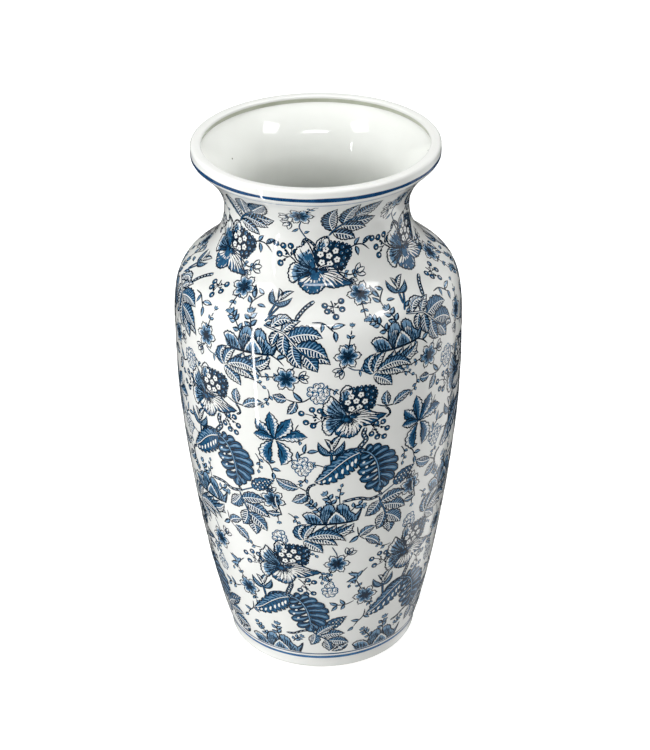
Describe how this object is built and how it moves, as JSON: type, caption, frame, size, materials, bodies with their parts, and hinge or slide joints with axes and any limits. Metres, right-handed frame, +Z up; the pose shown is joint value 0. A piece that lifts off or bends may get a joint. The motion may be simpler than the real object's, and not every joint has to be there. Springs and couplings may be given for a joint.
{
  "type": "floral vase",
  "caption": "Tall baluster vase with a rolled lip, waisted neck and foot ring, printed all over in blue with trailing flowers and leaves on white glaze.",
  "frame": {"origin": "middle of the plane that the foot ring stands on", "axes": "+Z up along the axis that the vase is turned about"},
  "size_m": [0.2352, 0.2352, 0.457],
  "materials": {
    "biscuit": "bare fired clay, dry and slightly grainy",
    "white_glaze": "clear glossy glaze over white porcelain",
    "cobalt_line": "brushed cobalt line under a glossy coat",
    "pale_line": "thin pale blue line under a glossy coat",
    "blue_print": "printed blue floral pattern under a glossy coat"
  },
  "bodies": {
    "root": {"foot_ring": "biscuit", "base_floor": "biscuit", "foot_wall": "biscuit", "lower_belly": "biscuit", "upper_belly": "biscuit", "shoulder": "biscuit", "neck": "biscuit", "rolled_lip": "biscuit", "outer_glaze": "white_glaze", "inner_glaze": "white_glaze", "base_glaze": "white_glaze", "foot_band": "cobalt_line", "foot_pinstripe": "cobalt_line", "rim_band": "cobalt_line", "neck_pinstripe": "pale_line", "body_print": "blue_print", "neck_print": "blue_print"}
  },
  "joints": []
}
